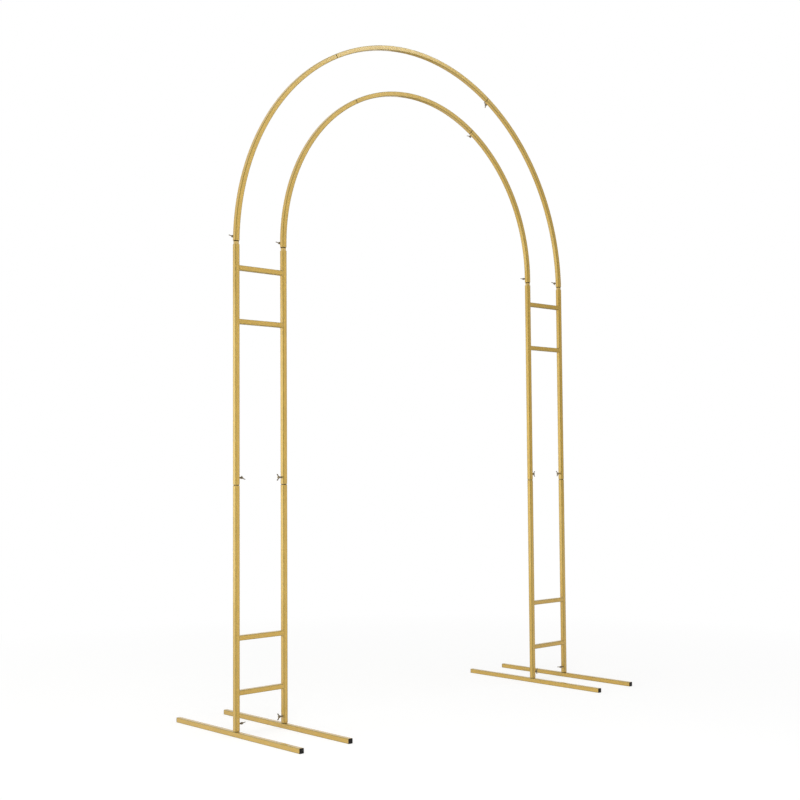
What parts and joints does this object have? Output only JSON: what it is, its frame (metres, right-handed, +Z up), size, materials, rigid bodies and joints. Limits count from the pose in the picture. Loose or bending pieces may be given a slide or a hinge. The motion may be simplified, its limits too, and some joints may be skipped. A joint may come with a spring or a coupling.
{
  "type": "metal garden arch",
  "caption": "Free-standing garden arch of square metal tube: two concentric round arches on ladder sides with foot bars, plugged together and held with wing screws.",
  "frame": {"origin": "on the ground in the middle of the passage, midway along the foot bars", "axes": "+X across the passage from one ladder side to the other, +Y through the arch, +Z up"},
  "size_m": [1.5182, 0.616, 2.2175],
  "materials": {
    "gold_paint": "satin gold powder coat",
    "dark_steel": "dark zinc-plated steel",
    "black_plastic": "matte black moulded plastic"
  },
  "bodies": {
    "root": {"arch_inner_crown": "gold_paint", "arch_inner_left": "gold_paint", "arch_inner_right": "gold_paint", "arch_outer_crown": "gold_paint", "arch_outer_left": "gold_paint", "arch_outer_right": "gold_paint", "crown_spigots": "gold_paint", "crown_wing_screws": "dark_steel", "end_caps_left_inner": "black_plastic", "end_caps_left_outer": "black_plastic", "end_caps_right_inner": "black_plastic", "end_caps_right_outer": "black_plastic", "foot_bar_left_inner": "gold_paint", "foot_bar_left_outer": "gold_paint", "foot_bar_right_inner": "gold_paint", "foot_bar_right_outer": "gold_paint", "foot_spigots": "gold_paint", "foot_wing_screws": "dark_steel", "lower_upright_left_inner": "gold_paint", "lower_upright_left_outer": "gold_paint", "lower_upright_right_inner": "gold_paint", "lower_upright_right_outer": "gold_paint", "mid_spigots": "gold_paint", "mid_wing_screws": "dark_steel", "rung_left_chest": "gold_paint", "rung_left_high": "gold_paint", "rung_left_knee": "gold_paint", "rung_left_low": "gold_paint", "rung_right_chest": "gold_paint", "rung_right_high": "gold_paint", "rung_right_knee": "gold_paint", "rung_right_low": "gold_paint", "spring_spigots": "gold_paint", "spring_wing_screws": "dark_steel", "upper_upright_left_inner": "gold_paint", "upper_upright_left_outer": "gold_paint", "upper_upright_right_inner": "gold_paint", "upper_upright_right_outer": "gold_paint"}
  },
  "joints": []
}
